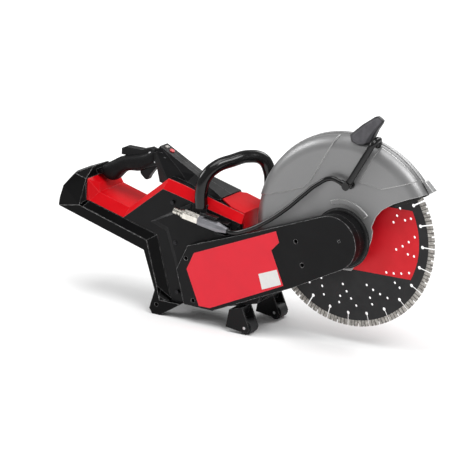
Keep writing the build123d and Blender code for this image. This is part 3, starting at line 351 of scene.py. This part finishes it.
BLACK = (0.0045, 0.0045, 0.005)
DEEP_BLACK = (0.0028, 0.0028, 0.003)
COVER_BLACK = (0.006, 0.006, 0.0065)
RED = (0.60, 0.0025, 0.007)
PANEL_RED = (0.76, 0.014, 0.032)
FINISHES = {
    # The pale edge colours of the moulded finishes are painted highlights as well as rubbing.
    "black_plastic": moulded("black_plastic", BLACK, 0.38, edge_wear_and_highlight=(0.22, 0.22, 0.225), gloss=0.15),
    "bumper_plastic": moulded(
        "bumper_plastic", DEEP_BLACK, 0.34, 0.9, edge=1.4, edge_wear_and_highlight=(0.5, 0.5, 0.5), gloss=0.08,
    ),
    "cover_plastic": moulded("cover_plastic", COVER_BLACK, 0.42, 1.6, 0.14, 1.3, (0.6, 0.6, 0.6), gloss=0.14),
    "button_plastic": moulded("button_plastic", (0.55, 0.02, 0.03), 0.3, edge_wear_and_highlight=(0.8, 0.5, 0.5), gloss=0.5),
    "red_plastic": moulded("red_plastic", RED, 0.34, edge_wear_and_highlight=(0.95, 0.12, 0.13), gloss=0.13, drift=0.04),
    "red_panel": moulded(
        "red_panel", PANEL_RED, 0.38, 1.2, 0.03, 0.5, (0.9, 0.2, 0.22), gloss=0.3, drift=0.03,
    ),
    "lever_rubber": faced_rubber("lever_rubber"),
    "label_film": label_film("label_film"),
    "flap_rubber": moulded("flap_rubber", (0.02, 0.02, 0.02), 0.6, 1.5, 0.1, edge_wear_and_highlight=(0.05, 0.05, 0.05)),
    "belt_rubber": moulded("belt_rubber", (0.025, 0.025, 0.025), 0.65, 1.0, 0.1, edge_wear_and_highlight=(0.06, 0.06, 0.06)),
    "hose_rubber": moulded("hose_rubber", DEEP_BLACK, 0.13, 2.5, 0.01, 0.6, (0.01, 0.01, 0.01), gloss=0.4),
    "wheel_rubber": moulded("wheel_rubber", (0.02, 0.02, 0.021), 0.5, 1.2, 0.12, edge_wear_and_highlight=(0.09, 0.09, 0.09)),
    "tube_black": moulded("tube_black", DEEP_BLACK, 0.14, 3.0, 0.012, 0.6, (0.01, 0.01, 0.01), gloss=0.42),
    "board": moulded("board", (0.05, 0.10, 0.06), 0.5, 2.0, 0.05, 0.4, (0.3, 0.3, 0.2)),
    "grip_rubber": textured_grip("grip_rubber"),
    "guard_metal": painted_guard("guard_metal"),
    "blade_plate": printed_blade("blade_plate"),
    "segment_metal": diamond_segment("segment_metal"),
    "steel": metal("steel", (0.52, 0.52, 0.53), 0.3, (1, 6, 1)),
    "dark_steel": metal("dark_steel", (0.03, 0.03, 0.032), 0.36, (1, 4, 1)),
    "cast_black": moulded("cast_black", COVER_BLACK, 0.48, 1.4, 0.12, 1.2, (0.2, 0.2, 0.2)),
    "aluminium": metal("aluminium", (0.72, 0.73, 0.74), 0.28, (1, 8, 1)),
    "nickel": plated("nickel"),
    "valve_grey": metal("valve_grey", (0.26, 0.26, 0.28), 0.36, (1, 1, 1), 0.6, metallic=0.6),
    "laminations": lamination("laminations"),
    "lens": indicator_lens("lens"),
}


# ---------------------------------------------------------------- meshes
def piece(name, mesh, body, finish, *stands_for):
    """Put a finished mesh in the scene, on its CAD body and with its finish."""
    thing = bpy.data.objects.new(name, mesh)
    bpy.context.scene.collection.objects.link(thing)
    mesh.materials.append(FINISHES[finish])
    if body:
        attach(thing, body)
    if stands_for:
        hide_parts(*stands_for)
    return thing


def loft(rings):
    """A closed skin through rings of points with equal counts, capped at both ends."""
    mesh = bmesh.new()
    rows = [[mesh.verts.new(p) for p in points] for points in rings]
    count = len(rows[0])
    for row, following in zip(rows, rows[1:]):
        for i in range(count):
            j = (i + 1) % count
            mesh.faces.new((row[i], row[j], following[j], following[i]))
    mesh.faces.new(list(reversed(rows[0])))
    mesh.faces.new(rows[-1])
    bmesh.ops.recalc_face_normals(mesh, faces=mesh.faces)
    return mesh


def to_mesh(name, source, smooth=True):
    mesh = bpy.data.meshes.new(name)
    source.to_mesh(mesh)
    source.free()
    for face in mesh.polygons:
        face.use_smooth = smooth
    return mesh


def oval(low, high, half_width, middle_y=0.0, corners=24, power=3.0):
    """Rounded section between a low and a high (x, z) point, half_width to each side."""
    points = []
    for i in range(corners):
        angle = 2 * pi * i / corners
        c, s = cos(angle), sin(angle)
        reach = (abs(c) ** power + abs(s) ** power) ** (-1 / power)
        share = 0.5 + 0.5 * s * reach
        x = low[0] + (high[0] - low[0]) * share
        z = low[1] + (high[1] - low[1]) * share
        points.append(at(x, middle_y + half_width * c * reach, z))
    return points


def prism(outline, y_low, y_high):
    """A straight-sided solid over an outline of (x, z) points."""
    return loft([[at(x, y, z) for x, z in outline] for y in (y_low, y_high)])


def cut(thing, *cutters):
    """Take each cutter mesh out of thing's own mesh."""
    for i, cutter in enumerate(cutters):
        tool = bpy.data.objects.new("cutter", to_mesh("cutter", cutter))
        bpy.context.scene.collection.objects.link(tool)
        change = thing.modifiers.new("cut", "BOOLEAN")
        change.operation, change.object, change.solver = "DIFFERENCE", tool, "EXACT"
        graph = bpy.context.evaluated_depsgraph_get()
        done = bpy.data.meshes.new_from_object(thing.evaluated_get(graph), depsgraph=graph)
        thing.modifiers.clear()
        thing.data = done
        bpy.data.objects.remove(tool)


def soften(thing, width, segments=3, angle=35.0):
    """Real rounded edges on a piece or a CAD node."""
    bevel = thing.modifiers.new("soft_edges", "BEVEL")
    bevel.width, bevel.segments = width * MM, segments
    bevel.limit_method, bevel.angle_limit = "ANGLE", radians(angle)
    bevel.harden_normals = True
    bevel.miter_outer = "MITER_ARC"


def round_node(name, width, segments=2):
    """Join a CAD node's split corners, clean its flats and round its edges."""
    node = NODES[name]
    weld = node.modifiers.new("join", "WELD")
    weld.merge_threshold = 0.002 * MM
    flats = node.modifiers.new("flats", "DECIMATE")
    flats.decimate_type, flats.angle_limit = "DISSOLVE", radians(0.6)
    soften(node, width, segments)
    node.modifiers.new("shading", "WEIGHTED_NORMAL").keep_sharp = True


def tube(name, points, radius, sides=20):
    """A round tube's mesh through points, with smooth bends."""
    curve = bpy.data.curves.new(name, "CURVE")
    curve.dimensions, curve.bevel_depth = "3D", radius * MM
    curve.bevel_resolution, curve.resolution_u, curve.use_fill_caps = sides // 4, 12, True
    line = curve.splines.new("BEZIER")
    line.bezier_points.add(len(points) - 1)
    for knot, point in zip(line.bezier_points, points):
        knot.co = point
        knot.handle_left_type = knot.handle_right_type = "AUTO"
    holder = bpy.data.objects.new(name, curve)
    bpy.context.scene.collection.objects.link(holder)
    graph = bpy.context.evaluated_depsgraph_get()
    mesh = bpy.data.meshes.new_from_object(holder.evaluated_get(graph), depsgraph=graph)
    bpy.data.objects.remove(holder)
    return mesh


# ---------------------------------------------------------------- pieces
GRIP_STATIONS = [
    # (low x, low z), (high x, high z), half width, from the bumper to the mast
    ((-560, 38), (-561, 56), 16),
    ((-549, 30), (-548, 63), 18.5),
    ((-538, 27), (-535, 70), 19.5),
    ((-527, 29.5), (-524, 76.5), 20),
    ((-518, 41), (-514, 81.5), 20),
    ((-508, 49), (-503, 85), 19.8),
    ((-493, 55.5), (-485, 88.5), 19.5),
    ((-473, 54.5), (-466, 92.5), 19.3),
    ((-458, 61), (-452, 97.5), 19.2),
    ((-446, 67.5), (-441, 102.5), 19.0),
    ((-436, 73.5), (-434, 107.5), 18.5),
    ((-428.5, 79), (-428.5, 110.5), 18),
]
LEVER_SLOT = [(-521, 75), (-521, 120), (-426, 120), (-430, 90), (-446, 88), (-466, 82), (-500, 75)]
LEVER_SLOT_Y = 8.6         # half width
TRIGGER_SLOT = [
    (-477, 30), (-477, 74), (-462, 80), (-444, 84), (-436, 90), (-420, 91), (-419, 84), (-419, 30),
]
TRIGGER_SLOT_Y = 6.6
SLOT_ROUNDING = 0.8


def handle_grip():
    """Rubber overmould of the rear handle, with open slots for the lever and the trigger."""
    rings = [oval(low, high, width) for low, high, width in GRIP_STATIONS]
    thing = piece("rear_grip", to_mesh("rear_grip", loft(rings)), None, "grip_rubber")
    fine = thing.modifiers.new("fine", "SUBSURF")
    fine.levels = fine.render_levels = 2
    lever_slot = prism(LEVER_SLOT, -LEVER_SLOT_Y, LEVER_SLOT_Y)
    trigger_slot = prism(TRIGGER_SLOT, -TRIGGER_SLOT_Y, TRIGGER_SLOT_Y)
    cut(thing, lever_slot, trigger_slot)
    if not thing.data.materials:
        thing.data.materials.append(FINISHES["grip_rubber"])
    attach(thing, "root")
    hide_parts("handle_grip")
    soften(thing, SLOT_ROUNDING, 2, 50)


PADDLE_STATIONS = [
    # (left x, left z), (right x, right z), half thickness, middle y, from the foot to the tip
    ((25, 181), (45, 184.5), 9, -17),
    ((12, 187), (52, 188.5), 12, -15.5),
    ((9.5, 198), (56, 196.5), 13, -14),
    ((34, 219.5), (64, 212), 10, -14),
    ((57.5, 236), (73, 224.5), 6.5, -14),
    ((64.5, 238), (76, 230.5), 4.5, -14),
]
PADDLE_CHAMFER = 0.36      # share of the half section cut off each corner
PADDLE_CREASE = 1.6        # rounding of the creases between its facets


def facet_section(left, right, half_width, middle_y, chamfer):
    """Eight-sided section between a left and a right (x, z) point, half_width to each side."""
    full, short = 1.0, 1.0 - chamfer
    corners = [
        (full, short), (short, full), (-short, full), (-full, short),
        (-full, -short), (-short, -full), (short, -full), (full, -short),
    ]
    points = []
    for across, along in corners:
        share = 0.5 + 0.5 * along
        x = left[0] + (right[0] - left[0]) * share
        z = left[1] + (right[1] - left[1]) * share
        points.append(at(x, middle_y + half_width * across, z))
    return points


def guard_paddle():
    """Rubber lever on the guard's crown, faceted like the moulding, with eased creases."""
    rings = [facet_section(*station, PADDLE_CHAMFER) for station in PADDLE_STATIONS]
    mesh = to_mesh("guard_paddle", loft(rings))
    thing = piece("guard_paddle", mesh, "guard", "lever_rubber", "guard_handle")
    soften(thing, PADDLE_CREASE, 4, 9)


HUB_STEPS = [
    # (radius, y) round the section
    (37.0, -28.2), (37.0, -32.4), (53.0, -32.4), (55.0, -31.4), (55.5, -30.2), (58.0, -30.0), (58.6, -28.2),
]
HUB_SIDES = 96


def hub_ring():
    """Black stepped ring on the guard's side plate, round the arm's boss."""
    mesh = bmesh.new()
    rows = []
    for i in range(HUB_SIDES):
        angle = 2 * pi * i / HUB_SIDES
        rows.append([mesh.verts.new(at(r * cos(angle), y, r * sin(angle))) for r, y in HUB_STEPS])
    for row, following in zip(rows, rows[1:] + rows[:1]):
        for j, point in enumerate(row):
            k = (j + 1) % len(row)
            mesh.faces.new((point, row[k], following[k], following[j]))
    bmesh.ops.recalc_face_normals(mesh, faces=mesh.faces)
    thing = piece("hub_ring", to_mesh("hub_ring", mesh), "guard", "cast_black")
    soften(thing, 0.5, 2, 30)


HOSE_RUN = [
    (-227.3, -67, -12.5), (-218.2, -67, -14.1), (-186, -67, -5), (-150, -65, 14), (-103, -60, 48),
    (-72, -53, 77), (-45, -46, 101), (-18, -41.5, 115), (1.6, -40, 110.6),
]
HOSE_R = 4.5


def water_hose():
    """Soft hose from the valve on the body to the elbow on the guard, bending between them."""
    mesh = tube("supply_hose", [at(*p) for p in HOSE_RUN], HOSE_R)
    thing = piece("supply_hose", mesh, None, "hose_rubber", "water_hose")
    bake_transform(thing)


HOOP_RUN = [
    (-295.5, -54, 20), (-294.5, -54, 52), (-289, -49, 79), (-276, -32, 98), (-257, -4, 107),
    (-238, 26, 111.5), (-220, 47, 104), (-210, 54, 82), (-206.5, 54, 50), (-205, 54, 12),
]
HOOP_R = 12.6


def front_hoop():
    """The rubber-dipped front handle, one thick tube from saddle to saddle."""
    mesh = tube("front_hoop", [at(*p) for p in HOOP_RUN], HOOP_R, 32)
    piece("front_hoop", mesh, "root", "tube_black", "front_handle", "front_handle_grip")


SLOPE_STATIONS = [
    # (crest x, crest z) on the rail's inner edge, (foot x, foot z) at the cheek, from rear to foot
    ((-574, -19.7), (-563, -7.0)),
    ((-420.3, -64.3), (-399.6, -51.4)),
    ((-397, -154.2), (-368.4, -176)),
]
SLOPE_TOP, SLOPE_FOOT, SLOPE_BACK = 59.6, 52.6, 42.3     # distances from the blade plane


def rail_slopes():
    """Sloping wall from each bumper rail up to the cheek beside it."""
    for name, side in (("right_rail_slope", -1), ("left_rail_slope", 1)):
        rings = []
        for (x, z), (foot_x, foot_z) in SLOPE_STATIONS:
            rings.append([
                at(x, side * SLOPE_TOP, z), at(foot_x, side * SLOPE_FOOT, foot_z),
                at(foot_x, side * SLOPE_BACK, foot_z), at(x, side * SLOPE_BACK, z),
            ])
        thing = piece(name, to_mesh(name, loft(rings), False), "root", "bumper_plastic")
        soften(thing, 1.0, 2, 30)


LABEL = [(-156, -85), (-115.5, -69.5), (-105.5, -97.5), (-147.5, -114.5)]
LABEL_Y = (-71.05, -70.6)  # from just proud of the red panel's face to just inside it


def blank_label():
    """Plain label on the lower front corner of the cover's red field."""
    mesh = to_mesh("blank_label", prism(LABEL, *LABEL_Y), False)
    thing = piece("blank_label", mesh, "root", "label_film")
    soften(thing, 0.15, 2, 30)


def dress_nodes():
    """Every CAD node takes the finish of its material slot."""
    for name, node in NODES.items():
        node.data.materials.clear()
        node.data.materials.append(FINISHES[SLOT_OF[name]])


# Rounding of the CAD nodes' edges, in millimetres
ROUNDED = {
    "rear_bumper": 3.0, "bumper_rails": 1.6, "left_housing": 1.2, "right_housing": 1.2,
    "top_trim": 1.0, "belt_cover": 1.6, "belt_cover_panel": 0.3,
    "front_feet": 1.5, "trigger": 1.8, "lockoff_lever": 1.8, "valve_lever": 1.0,
    "valve_body": 0.8, "valve_holder": 0.8, "water_coupler": 0.4, "hoop_saddles": 1.5,
    "guard_lip": 0.8, "power_button": 0.6, "arbor_bolt": 0.6, "support_arm": 1.0,
}


# ---------------------------------------------------------------- studio
SKY_LIGHT = 0.38           # how strongly the white surroundings light the object
SKY_SEEN = 1.0             # how bright they look to the camera
FLOOR_R = 30               # metres
FLOOR_FADE = (0.9, 3.2)    # metres from the blade, where the floor fades into the surroundings
FADE_GLOW = 0.65           # what lifts the unlit floor to the brightness of the surroundings


def white_sky():
    """Even white surroundings, brighter to the camera than to the object."""
    sky = bpy.data.worlds.new("sky")
    sky.use_nodes = True
    nodes, links = sky.node_tree.nodes, sky.node_tree.links
    background = nodes["Background"]
    background.inputs["Color"].default_value = (1, 1, 1, 1)
    seen = nodes.new("ShaderNodeLightPath").outputs["Is Camera Ray"]
    strength = nodes.new("ShaderNodeMapRange")
    links.new(seen, strength.inputs["Value"])
    strength.inputs["To Min"].default_value = SKY_LIGHT
    strength.inputs["To Max"].default_value = SKY_SEEN
    links.new(strength.outputs["Result"], background.inputs["Strength"])
    return sky


LAMPS = {
    # azimuth and elevation in degrees, distance and size in metres, watts
    "key": (65, 48, 3.2, 1.3, 44),
    "left": (-70, 30, 3.2, 1.1, 33),
    "top": (0, 80, 3.0, 1.8, 39),
    "rim": (170, 40, 3.2, 1.6, 40),
}


def studio():
    """Pale paper floor that fades into white surroundings, and four soft lamps."""
    floor = bmesh.new()
    bmesh.ops.create_circle(floor, cap_ends=True, segments=96, radius=FLOOR_R)
    ground = bpy.data.objects.new("ground", to_mesh("ground", floor, False))
    bpy.context.scene.collection.objects.link(ground)
    f = Finish("ground_paper")
    f.set(Base_Color=f.mix(f.blotch(300, 0, 1), (0.95, 0.95, 0.95, 1), (0.97, 0.97, 0.97, 1)))
    f.set(Roughness=f.blotch(200, 0.85, 0.95))
    away = f.node("ShaderNodeVectorMath", {0: f.place, 1: HUB}, operation="DISTANCE").outputs["Value"]
    seen = f.node("ShaderNodeLightPath").outputs["Is Camera Ray"]
    glow = f.maths("MULTIPLY", f.ramp(away, *FLOOR_FADE, 0.0, FADE_GLOW), seen)
    f.set(Emission_Color=(1, 1, 1, 1), Emission_Strength=glow)
    ground.data.materials.append(f.material)
    bpy.context.scene.world = white_sky()
    for name, settings in LAMPS.items():
        softbox(name, *settings)


def softbox(name, azimuth, elevation, distance, size, power):
    """A square soft light aimed at the middle of the object."""
    middle = (cad_box[0] + cad_box[1]) / 2
    a, e = radians(azimuth), radians(elevation)
    away = Vector((sin(a) * cos(e), -cos(a) * cos(e), sin(e)))
    lamp = bpy.data.lights.new(name, "AREA")
    lamp.energy, lamp.size = power, size
    holder = bpy.data.objects.new(name, lamp)
    holder.location = middle + away * distance
    holder.rotation_mode = "QUATERNION"
    holder.rotation_quaternion = away.to_track_quat("Z", "Y")
    bpy.context.scene.collection.objects.link(holder)


def camera():
    """The photograph's viewpoint."""
    lens = bpy.data.cameras.new("camera")
    lens.lens, lens.sensor_width = CAMERA_LENS, SENSOR
    lens.clip_end = 100
    holder = bpy.data.objects.new("camera", lens)
    holder.location = HUB + CAMERA_PLACE
    holder.rotation_mode = "QUATERNION"
    holder.rotation_quaternion = (-CAMERA_BACK).to_track_quat("-Z", "Y")
    bpy.context.scene.collection.objects.link(holder)
    bpy.context.scene.camera = holder


dress_nodes()
for name, width in ROUNDED.items():
    round_node(name, width)
handle_grip()
guard_paddle()
hub_ring()
water_hose()
front_hoop()
rail_slopes()
blank_label()
studio()
camera()
bpy.context.scene.view_settings.view_transform = "Standard"
